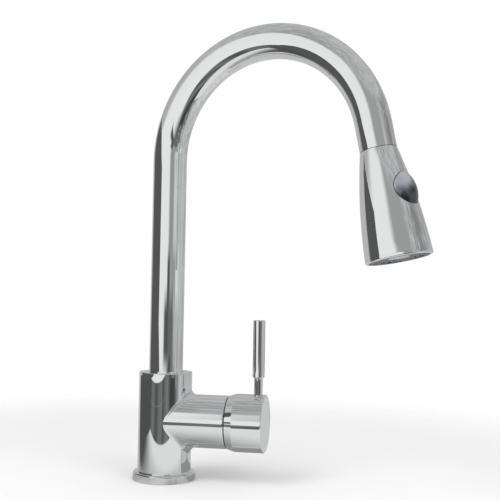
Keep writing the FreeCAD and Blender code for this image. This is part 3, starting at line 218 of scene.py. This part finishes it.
# %% Build the world
FLOOR = {
    "pale floor behind on the left": (-180, -150, 0.58),
    "dark floor on the left": (-128, -80, 0.10),
    "dark floor in front": (-55, 45, 0.17),
    "pale floor on the right": (76, 130, 0.70),
    "pale floor behind": (150, 180, 0.60),
}
GROUND = {
    "grey cloth on the left": (-180, -140, 0.58),
    "white cloth in front": (-100, -8, 0.90),
    "dark gap": (16, 44, 0.14),
    "grey cloth on the right": (62, 140, 0.54),
    "grey cloth behind": (158, 180, 0.62),
}
JUST_ABOVE_GROUND = {
    "backdrop on the left": (-180, -140, 0.52),
    "white panel": (-110, -27, 0.89),
    "camera stand": (-16, 2, 0.10),
    "bag": (10, 38, 0.15),
    "window sill": (50, 60, 0.50),
    "pale wall": (82, 112, 0.50),
    "door post": (125, 127, 0.40),
    "backdrop": (150, 180, 0.55),
}
EYE_LEVEL = {
    "backdrop on the left": (-180, -140, 0.52),
    "white panel": (-110, -9, 0.89),
    "camera": (-1, 7, 0.09),
    "grey wall": (15, 44, 0.36),
    "window": (56, 70, 0.80),
    "pale wall": (82, 112, 0.55),
    "door post": (125, 127, 0.42),
    "backdrop": (150, 180, 0.55),
}
ABOVE_THE_CAMERA = {
    "backdrop on the left": (-180, -140, 0.52),
    "white panel": (-110, -6, 0.89),
    "wall behind the camera": (5, 24, 0.33),
    "lamp stand": (36, 44, 0.66),
    "pale wall": (58, 112, 0.54),
    "door post": (130, 134, 0.45),
    "backdrop": (150, 180, 0.50),
}
UPPER_WALLS = {
    "grey wall on the left": (-180, -100, 0.46),
    "white panel": (-78, -34, 0.88),
    "grey wall": (-20, 28, 0.37),
    "pale strip": (36, 44, 0.48),
    "curtain": (64, 88, 0.28),
    "shaded wall": (98, 118, 0.38),
    "backdrop": (132, 180, 0.46),
}
CEILING = {
    "ceiling on the left": (-180, -78, 0.48),
    "beam": (-62, -46, 0.40),
    "ceiling above the camera": (-20, 40, 0.46),
    "ceiling on the right": (70, 180, 0.52),
}
LEVELS = (
    (-0.660, -0.460, GROUND),
    (-0.100, -0.070, JUST_ABOVE_GROUND),
    (-0.030, 0.010, EYE_LEVEL),
    (0.030, 0.060, ABOVE_THE_CAMERA),
    (0.200, 0.300, UPPER_WALLS),
    (0.560, 0.660, CEILING),
)
CLUTTER_SCALE = 16.0
PALE_SHARE = 0.40
DARK_SHARE = 0.35
PALE_THING = (0.80, 0.90, 0.93, 1)
EVEN_LIGHT = (0.72, 0.72, 0.72, 1)
WHITE = (1, 1, 1, 1)
BLACK = (0, 0, 0, 1)
CAMERA_AZIMUTH = math.atan2(CAMERA_PLACE.y, CAMERA_PLACE.x)


def grey(value):
    """A faintly green grey, as daylight through a window makes it."""
    return (value * 0.98, value, value * 0.985)


def stops_round(things):
    """Ramp stops for things that stand round the faucet, with soft edges between neighbours."""
    stops = []
    for first, last, tone in things.values():
        stops += [(first / 360 + 0.5, grey(tone)), (last / 360 + 0.5, grey(tone))]
    return stops


def turn_from_camera(x, y):
    """How far round a direction lies, from 0 to 1 with the camera at a half."""
    turned = x.maths("ARCTAN2", y, x) - CAMERA_AZIMUTH
    return x.maths("WRAP", turned, math.pi, -math.pi) * (0.5 / math.pi) + 0.5


world = bpy.data.worlds.new("studio")
world.use_nodes = True
scene.world = world
sky = Shader(world.node_tree)
direction = sky.add("TexCoord", output="Generated")
east, north, height = sky.split(direction)
around = turn_from_camera(east, north)


def tones(things):
    """The tone of what stands in each direction at one height."""
    return sky.add("ValToRGB", {"stops": stops_round(things)}, {"Fac": around})


room = tones(FLOOR)
for low, high, things in LEVELS:
    room = sky.mix(sky.between(height, low, high), room, tones(things))
clutter = sky.add("TexNoise", None, {"Vector": direction, "Scale": CLUTTER_SCALE, "Detail": 5.0})
on_right = sky.between(around, 0.54, 0.62) - sky.between(around, 0.90, 0.98)
overhead = sky.between(height, 0.50, 0.70)
busy = on_right + overhead - on_right * overhead
pale_things = busy * sky.between(clutter, 0.52, 0.66)
dark_things = busy * (1 - sky.between(clutter, 0.34, 0.48))
room = sky.mix(PALE_SHARE * pale_things, room, PALE_THING)
room = sky.mix(DARK_SHARE * dark_things, room, (*grey(0.10), 1))
glossy = sky.add("LightPath", output="Is Glossy Ray")
passing = sky.add("LightPath", output="Is Transmission Ray")
seen = sky.mix(glossy + passing, EVEN_LIGHT, room)
seen = sky.mix(sky.add("LightPath", output="Is Camera Ray"), seen, WHITE)
backdrop = sky.add("Background", None, {"Color": seen, "Strength": 1.0})
sky.add("OutputWorld", None, {"Surface": backdrop})
print("at eye level:", ", ".join(EYE_LEVEL))

# %% [markdown]
# ## A black flag and a rail beside the faucet
#
# A white room leaves chrome without edges, so photographers hang a black card close beside it.
# It puts one dark band down the left of the tube, the barrel and the head. Being close, it shifts
# from piece to piece: the head, further to the right, sees less of it than the tube does. A tone
# in the world can't shift like that, so the flag is a real card, higher at the back than in front,
# which lets its band thin out towards the top of the head. A low rail ends the dark cloth that lies
# in front of the faucet, and the cloth hangs over it with the same folds. Only mirror reflections
# see the two cards; the camera and the light pass through.

# %% Place the flag and the rail
FLAG_BACK = Vector((-0.368, 0.200, 0))
FLAG_FRONT = Vector((-0.221, -0.252, 0))
FLAG_CORNER = Vector((-0.193, -0.338, 0))
FLAG_FOOT = 0.055
FLAG_STEP = 0.115
FLAG_TOP_FRONT = 0.305
FLAG_TOP_BACK = 0.450
RAIL_LEFT = Vector((-0.971, -0.140, 0))
RAIL_RIGHT = Vector((0.609, -0.770, 0))
RAIL_HEIGHT = 0.033
FELT_TONE = 0.10
CLOTH_FOLDS = {
    "shade on the left": (-180, -66, 0.085),
    "first fold": (-55, -51, 0.185),
    "first hollow": (-42, -37, 0.095),
    "second fold": (-24, -18, 0.185),
    "second hollow": (-13, -10, 0.100),
    "third fold": (4, 8, 0.205),
    "shade on the right": (18, 180, 0.060),
}


def at_height(place, z):
    return place + Vector((0, 0, z))


def fold_tones(shader, place):
    """The cloth's folds, which run outwards from the faucet."""
    x, y, _ = shader.split(place)
    stops = stops_round(CLOTH_FOLDS)
    return shader.add("ValToRGB", {"stops": stops}, {"Fac": turn_from_camera(x, y)})


def close_card(shader, tone):
    """Ends a tree in one set tone, which the lamps don't change."""
    matt = {"Base Color": BLACK, "Roughness": 1.0, "Specular IOR Level": 0.0}
    matt["Emission Strength"] = 1.0
    close_finish(shader, matt, {"Emission Color": tone})


def make_felt():
    material, shader = new_finish("black_felt")
    close_card(shader, (*grey(FELT_TONE), 1))
    return material


def make_folded_cloth():
    material, shader = new_finish("folded_cloth")
    close_card(shader, fold_tones(shader, shader.add("TexCoord", output="Object")))
    return material


def place_mesh(name, made, material):
    """Turns a finished bmesh into an object of the scene."""
    mesh = bpy.data.meshes.new(name)
    made.to_mesh(mesh)
    made.free()
    mesh.materials.append(material)
    item = bpy.data.objects.new(name, mesh)
    scene.collection.objects.link(item)
    return item


def stand_card(name, material, corners):
    """A flat dark card that only mirror reflections see."""
    card = bmesh.new()
    card.faces.new([card.verts.new(corner) for corner in corners])
    item = place_mesh(name, card, material)
    item.visible_camera = False
    item.visible_diffuse = False
    item.visible_shadow = False


stand_card("black_flag", make_felt(), [
    at_height(FLAG_BACK, FLAG_FOOT),
    at_height(FLAG_CORNER, FLAG_FOOT),
    at_height(FLAG_FRONT, FLAG_STEP),
    at_height(FLAG_FRONT, FLAG_TOP_FRONT),
    at_height(FLAG_BACK, FLAG_TOP_BACK),
])
stand_card("low_rail", make_folded_cloth(), [
    RAIL_LEFT, RAIL_RIGHT, at_height(RAIL_RIGHT, RAIL_HEIGHT), at_height(RAIL_LEFT, RAIL_HEIGHT)
])
print("flag", round((FLAG_BACK - FLAG_FRONT).length, 2), "m wide, rail",
      round((RAIL_RIGHT - RAIL_LEFT).length, 2), "m long")

# %% [markdown]
# ## Table and lamps
#
# The faucet stands on a white table, which hides the clamp below it and catches its soft shadow.
# The table is a disc that fades out before it reaches the horizon, so there is no edge against
# the white background. Mirror rays see something else there: a white sheet in front of the foot,
# a dark cloth with its folds as far as the rail, and the faucet's own shade behind. The lower
# barrel picks up the sheet and the cloth, and the undersides of the branch and the arch the rest.
# Sheet and cloth glow for mirror rays alone, so the faucet doesn't darken what it mirrors. Two
# large soft lamps light the matt pieces; they are kept out of mirror reflections, where the
# studio's own panels already show.

# %% Build the table and lamps
TABLE_RADIUS = 0.9
TABLE_FADE = (0.30, 0.62)
PAPER_TONES = (0.90, 0.90, 0.90, 1), (0.92, 0.92, 0.92, 1)
SHEET_TONE = 0.80
SHADE_TONE = 0.30
SHEET_SLANT = 1.7
SHEET_FADE = (-0.12, 0.20)
SHEET_LEFT = -0.220
SHEET_RIGHT = 0.300
SHEET_FRONT = -0.203
SHEET_BACK = -0.006
SHEET_EDGE = 0.006
SHADE_LEFT = 0.000
SHADE_RIGHT = 0.095
SHADE_BACK = 0.065
CLOTH_WAY = Vector((-0.555, -0.832, 0))
CLOTH_START = (0.0, 0.06)
RAIL_WAY = Vector((-0.370, -0.929, 0))
RAIL_AWAY = 0.490
LAMP_SIZE = 1.0
LAMP_AIM = Vector((0.08, 0.0, 0.15))
KEY_PLACE = Vector((-0.6, -0.9, 1.3))
KEY_WATTS = 9.0
FILL_PLACE = Vector((0.9, -0.7, 0.9))
FILL_WATTS = 5.0


def make_table_finish():
    material, shader = new_finish("table_white")
    place = shader.add("TexCoord", output="Object")
    x, y, _ = shader.split(place)
    reach = shader.add("VectorMath", {"operation": "LENGTH"}, {0: place}, "Value")

    def past(value, edge):
        return shader.between(value, edge - SHEET_EDGE, edge + SHEET_EDGE)

    def along(way):
        return shader.add("VectorMath", {"operation": "DOT_PRODUCT"}, {0: place, 1: way}, "Value")

    behind = past(y, SHEET_BACK)
    lit = shader.between(x - y * SHEET_SLANT, *SHEET_FADE)
    sheet_across = past(x, SHEET_LEFT) - past(x, SHEET_RIGHT)
    sheet = lit * sheet_across * (past(y, SHEET_FRONT) - behind)
    shade_across = past(x, SHADE_LEFT) - past(x, SHADE_RIGHT)
    shade = shade_across * (behind - past(y, SHADE_BACK))
    before_rail = 1 - past(along(RAIL_WAY), RAIL_AWAY)
    cloth = shader.between(along(CLOTH_WAY), *CLOTH_START) * before_rail
    mirror_fade = (1 - cloth) * (1 - sheet - shade)
    seen_fade = shader.between(reach, *TABLE_FADE)
    mirrored = shader.add("LightPath", output="Is Glossy Ray")
    fade = seen_fade + mirrored * (mirror_fade - seen_fade)
    mirror_tone = shader.mix(sheet, fold_tones(shader, place), (*grey(SHEET_TONE), 1))
    mirror_tone = shader.mix(shade, mirror_tone, (*grey(SHADE_TONE), 1))
    paper = shader.mix(shader.noise(40.0), *PAPER_TONES)
    matt = shader.add(
        "BsdfPrincipled",
        None,
        {
            "Base Color": shader.mix(mirrored, paper, BLACK),
            "Roughness": 1.0,
            "Specular IOR Level": 0.0,
            "Emission Color": shader.mix(mirrored, BLACK, mirror_tone),
            "Emission Strength": 1.0,
        },
    )
    clear = shader.add("BsdfTransparent")
    faded = shader.add("MixShader", None, {0: fade, 1: matt, 2: clear})
    shader.add("OutputMaterial", None, {"Surface": faded})
    return material


def make_lamp(name, place, watts):
    data = bpy.data.lights.new(name, "AREA")
    data.shape = "DISK"
    data.size = LAMP_SIZE
    data.energy = watts
    lamp = bpy.data.objects.new(name, data)
    lamp.location = place
    lamp.rotation_euler = (LAMP_AIM - place).to_track_quat("-Z", "Y").to_euler()
    lamp.visible_glossy = False
    scene.collection.objects.link(lamp)


disc = bmesh.new()
bmesh.ops.create_circle(disc, cap_ends=True, segments=96, radius=TABLE_RADIUS)
table = place_mesh("table", disc, make_table_finish())
make_lamp("key_lamp", KEY_PLACE, KEY_WATTS)
make_lamp("fill_lamp", FILL_PLACE, FILL_WATTS)
print("table and lamps ready")

# %% [markdown]
# ## Polished chrome
#
# Plated brass is polished until it mirrors, but never quite flat: long shallow waves left by the
# polishing wheel bend the edges of the reflections, and faint smears of dried water dull it a
# little in patches. A slow bump gives the waves, and noise on the roughness gives the smears.

# %% Chrome finish
def make_chrome():
    material, shader = new_finish("chrome_plating")
    smears = shader.noise(22.0, 6.0, (1, 1, 0.35))
    specks = shader.noise(420.0, 2.0)
    roughness = 0.012 + 0.035 * shader.between(smears, 0.45, 0.8) + 0.01 * specks
    tone = shader.mix(smears, (0.83, 0.84, 0.85, 1), (0.88, 0.885, 0.89, 1))
    waves = shader.noise(28.0, 1.5, (1, 1, 0.5))
    close_finish(
        shader,
        {"Metallic": 1.0},
        {"Base Color": tone, "Roughness": roughness},
        (waves, 0.10, 0.002),
    )
    return material


chrome = make_chrome()
print("made", chrome.name)

# %% [markdown]
# ## The other finishes
#
# Inside and below there is bare brass, bright steel, black rubber, white acetal and grey lapped
# ceramic. None of them is one flat colour: turned brass has fine rings of tool marks, steel has a
# brushed grain, moulded plastic has a faint orange peel, and rubber collects pale dust. Each is a
# base tone and a variation, so one function makes them all from a short list of numbers.

# %% Plain finishes
PLAIN = (1, 1, 1)
PLAIN_FINISHES = {
    "turned_brass": (
        (0.60, 0.43, 0.17), (0.74, 0.56, 0.26), 1.0, (0.22, 0.38), 900, (1, 1, 4), 0.12
    ),
    "bright_steel": (
        (0.50, 0.51, 0.52), (0.63, 0.64, 0.65), 1.0, (0.22, 0.40), 700, (1, 1, 0.2), 0.10
    ),
    "black_rubber": (
        (0.018, 0.018, 0.019), (0.05, 0.05, 0.052), 0.0, (0.62, 0.85), 500, PLAIN, 0.2
    ),
    "white_acetal": (
        (0.80, 0.80, 0.77), (0.88, 0.88, 0.86), 0.0, (0.32, 0.46), 350, PLAIN, 0.08
    ),
    "lapped_ceramic": (
        (0.80, 0.78, 0.73), (0.90, 0.88, 0.84), 0.0, (0.12, 0.24), 600, PLAIN, 0.04
    ),
    "screen_grey": (
        (0.46, 0.48, 0.50), (0.58, 0.60, 0.62), 0.0, (0.35, 0.50), 400, PLAIN, 0.10
    ),
    "nozzle_silicone": (
        (0.22, 0.24, 0.27), (0.32, 0.34, 0.37), 0.0, (0.50, 0.70), 500, PLAIN, 0.12
    ),
    "face_dark": (
        (0.055, 0.07, 0.10), (0.10, 0.12, 0.16), 0.0, (0.28, 0.42), 450, PLAIN, 0.08
    ),
}


def make_finish(name, dark, light, metallic, rough, grain, stretch, bump):
    """A finish between two tones, with its grain in the roughness and the bump as well."""
    material, shader = new_finish(name)
    grains = shader.noise(grain, 4.0, stretch)
    clouds = shader.noise(grain / 12, 3.0)
    amount = 0.6 * clouds + 0.4 * grains
    tone = shader.mix(amount, (*dark, 1), (*light, 1))
    low, high = rough
    roughness = low + (high - low) * grains
    close_finish(
        shader,
        {"Metallic": metallic},
        {"Base Color": tone, "Roughness": roughness},
        (grains, bump, 0.0004),
    )
    return material


plain = {name: make_finish(name, *values) for name, values in PLAIN_FINISHES.items()}
print("made", ", ".join(plain))

# %% [markdown]
# ## The spray button
#
# The button is a glossy dome in a dark metallic lacquer. It is dark grey at its lower end, and a
# painted highlight in pale bluish grey sits high up and towards the user, where the dome would
# catch the light from above. The distance from that place gives the painted highlight, with some
# noise in it so that its edge isn't a circle.

# %% Button finish
# The place, edge and tone of the button's painted highlight, a pale patch that stands in for light from above.
HIGHLIGHT_PLACE = (0.1935, -0.0718, 0.2405)
PAINTED_HIGHLIGHT_EDGE = (0.0060, 0.0155)
LACQUER_TONE = (0.095, 0.10, 0.11, 1)
PAINTED_HIGHLIGHT_TONE = (0.78, 0.81, 0.90, 1)


def make_button_finish():
    material, shader = new_finish("button_lacquer")
    place = shader.add("TexCoord", output="Object")
    ends = {0: place, 1: HIGHLIGHT_PLACE}
    away = shader.add("VectorMath", {"operation": "DISTANCE"}, ends, "Value")
    clouds = shader.noise(90.0, 4.0)
    # Painted highlight: the pale patch is light caught at the top of the dome, not wear.
    painted_highlight = 1 - shader.between(away + 0.003 * clouds, *PAINTED_HIGHLIGHT_EDGE)
    scratches = shader.noise(700.0, 2.0, (1, 6, 1))
    tone = shader.mix(painted_highlight, LACQUER_TONE, PAINTED_HIGHLIGHT_TONE)
    roughness = 0.14 + 0.06 * scratches + 0.08 * painted_highlight
    close_finish(
        shader,
        {"Metallic": 1.0, "Coat Weight": 0.4, "Coat Roughness": 0.05},
        {"Base Color": tone, "Roughness": roughness},
        (clouds, 0.04, 0.0005),
    )
    return material


button_lacquer = make_button_finish()
print("made", button_lacquer.name)

# %% [markdown]
# ## Threads on the fixing studs
#
# The studs and the hose's lower end are threaded. Cutting real threads would cost many faces for
# something that sits under the table, so a ripple along the height, one wave for each millimetre,
# goes into the bump of a second steel and a second brass. The same ripple also paints the grooves
# darker than the crests, a painted shade.

# %% Threaded finishes
THREAD_PITCH = 0.001


def make_thread_finish(name, dark, light):
    material, shader = new_finish(name)
    _, _, along = shader.split(shader.add("TexCoord", output="Object"))
    ripple = along.maths("SINE", along * (2 * math.pi / THREAD_PITCH))
    ridge_and_groove_shade = 0.5 + 0.5 * ripple
    # Painted shade: the tone is darker in the thread's grooves than on its crests.
    tone = shader.mix(ridge_and_groove_shade, (*dark, 1), (*light, 1))
    wear = shader.noise(300.0)
    close_finish(
        shader,
        {"Metallic": 1.0},
        {"Base Color": tone, "Roughness": 0.25 + 0.2 * wear},
        (ridge_and_groove_shade, 0.8, 0.0005),
    )
    return material


threaded_steel = make_thread_finish("threaded_steel", (0.30, 0.31, 0.32), (0.62, 0.63, 0.64))
threaded_brass = make_thread_finish("threaded_brass", (0.42, 0.29, 0.10), (0.74, 0.56, 0.26))
print("thread finishes ready")

# %% [markdown]
# ## The hose's sheath
#
# Pull-out hoses are braided: thin grey nylon strands cross in two directions under a clear skin.
# Two sets of slanted ripples that cross give the braid, with painted light where a strand comes up
# and painted shade in the dips between strands.

# %% Hose finish
BRAID_PITCH = 0.0022


def make_hose_finish():
    material, shader = new_finish("hose_braid")
    x, y, z = shader.split(shader.add("TexCoord", output="Object"))
    waves = 2 * math.pi / BRAID_PITCH
    one_way = x.maths("SINE", (z + x * 0.9 + y * 0.5) * waves)
    other_way = x.maths("SINE", (z - x * 0.9 - y * 0.5) * waves)
    strands_and_painted_shade = 0.5 + 0.25 * one_way + 0.25 * other_way
    fibres = shader.noise(1500.0, 2.0)
    # Painted light and shade: the braid is lighter where a strand comes up and darker in the dips.
    tone = shader.mix(strands_and_painted_shade, (0.09, 0.095, 0.10, 1), (0.30, 0.31, 0.33, 1))
    close_finish(
        shader,
        {"Metallic": 0.0},
        {"Base Color": tone, "Roughness": 0.35 + 0.2 * fibres},
        (strands_and_painted_shade, 0.5, 0.0003),
    )
    return material


hose_braid = make_hose_finish()
print("made", hose_braid.name)

# %% [markdown]
# ## Dressing the solids
#
# The record says which slot each solid belongs to. A table from slot to finish dresses all of
# them, and the few threaded pieces get their own afterwards.

# %% Give every solid its finish
FINISHES = {
    "polished_chrome": chrome,
    "bare_brass": plain["turned_brass"],
    "plain_steel": plain["bright_steel"],
    "black_rubber": plain["black_rubber"],
    "white_acetal": plain["white_acetal"],
    "disc_ceramic": plain["lapped_ceramic"],
    "face_plastic": plain["face_dark"],
    "soft_silicone": plain["nozzle_silicone"],
    "screen_plastic": plain["screen_grey"],
    "button_gloss": button_lacquer,
    "hose_sheath": hose_braid,
}
THREADED = {"fixing_studs": threaded_steel, "hose_tail_fitting": threaded_brass}

for entry in record["subparts"]:
    name = entry["node"]
    finish = THREADED.get(name, FINISHES[entry["material_slot"]])
    for slot in nodes[name].material_slots:
        slot.material = finish
print(len(record["subparts"]), "solids dressed")

# %% [markdown]
# ## The length of hose that comes out
#
# At rest the hose ends in the head's fitting, just inside the tube. When the head is pulled off,
# the hose slides out of the spout between the two. The solid hose can't do that, so a short
# sleeve is laid over its last centimetre along the head's axis. A circle drawn out along the
# head's axis makes it, with enough rings to stay round and even.

# %% Make the drawn hose
joints = {joint["name"]: joint for joint in frame["joints"]}
HEAD_AXIS = Vector(joints["pull_out"]["axis"]).normalized()
HEAD_PLACE = Vector(joints["head_turn"]["pos_m"])
HOSE_RADIUS = 0.0060
SLEEVE_TOP = 0.0203
SLEEVE_END = 0.0090
SLEEVE_STEPS = 24


def draw_on(mesh, rim, step):
    """Extrudes an open rim by a step and returns the new rim."""
    made = bmesh.ops.extrude_edge_only(mesh, edges=rim)["geom"]
    corners = [item for item in made if isinstance(item, bmesh.types.BMVert)]
    bmesh.ops.translate(mesh, verts=corners, vec=step)
    return [
        item
        for item in made
        if isinstance(item, bmesh.types.BMEdge) and all(v in corners for v in item.verts)
    ]


def close_tube(tube):
    """Fills both ends, turns the faces outwards and smooths the sides."""
    open_rims = [edge for edge in tube.edges if edge.is_boundary]
    bmesh.ops.holes_fill(tube, edges=open_rims, sides=0)
    bmesh.ops.recalc_face_normals(tube, faces=tube.faces)
    for face in tube.faces:
        face.smooth = len(face.verts) == 4


def make_drawn_hose():
    tube = bmesh.new()
    bmesh.ops.create_circle(tube, cap_ends=False, segments=40, radius=HOSE_RADIUS)
    lie = HEAD_AXIS.to_track_quat("Z", "Y").to_matrix()
    bmesh.ops.rotate(tube, cent=(0, 0, 0), matrix=lie, verts=tube.verts)
    bmesh.ops.translate(tube, verts=tube.verts, vec=HEAD_PLACE - HEAD_AXIS * SLEEVE_TOP)
    rim = list(tube.edges)
    for _ in range(SLEEVE_STEPS):
        rim = draw_on(tube, rim, HEAD_AXIS * ((SLEEVE_TOP - SLEEVE_END) / SLEEVE_STEPS))
    close_tube(tube)
    hose = place_mesh("drawn_hose", tube, hose_braid)
    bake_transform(hose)
    return hose


drawn_hose = make_drawn_hose()
print("drawn hose with", len(drawn_hose.data.polygons), "faces")

# %% [markdown]
# ## The spring under the button
#
# A coil spring stands between the head's core and the button, and closes up as the button goes in.
# The solid spring keeps its length, so a coil of the same wire is made to take its place, and the
# solid spring is hidden. A curve with a bevel would do for a coil, but spinning a small circle round
# the button's axis, with a small step along it each time, gives even rings and a clean mesh at once.

# %% Make the button's spring
SPRING_FOOT = Vector((0.190649, -0.061298, 0.229445))
SPRING_TIP = Vector((0.198812, -0.067200, 0.232855))
WIRE_START = Vector((0.189188, -0.060642, 0.234076))
WIRE_RADIUS = 0.00035
SPRING_TURNS = 5
STEPS_EACH_TURN = 28


def make_pressed_spring():
    along = SPRING_TIP - SPRING_FOOT
    heading = along.cross(WIRE_START - SPRING_FOOT)
    coil = bmesh.new()
    bmesh.ops.create_circle(coil, cap_ends=False, segments=12, radius=WIRE_RADIUS)
    face_on = heading.to_track_quat("Z", "Y").to_matrix()
    bmesh.ops.rotate(coil, cent=(0, 0, 0), matrix=face_on, verts=coil.verts)
    bmesh.ops.translate(coil, verts=coil.verts, vec=WIRE_START)
    steps = SPRING_TURNS * STEPS_EACH_TURN
    bmesh.ops.spin(
        coil,
        geom=[*coil.verts, *coil.edges],
        cent=SPRING_FOOT,
        axis=along.normalized(),
        dvec=along / steps,
        angle=2 * math.pi * SPRING_TURNS,
        steps=steps,
        use_merge=False,
    )
    close_tube(coil)
    spring = place_mesh("pressed_spring", coil, plain["bright_steel"])
    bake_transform(spring)
    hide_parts("button_spring")
    return spring


pressed_spring = make_pressed_spring()
print("spring with", len(pressed_spring.data.polygons), "faces")
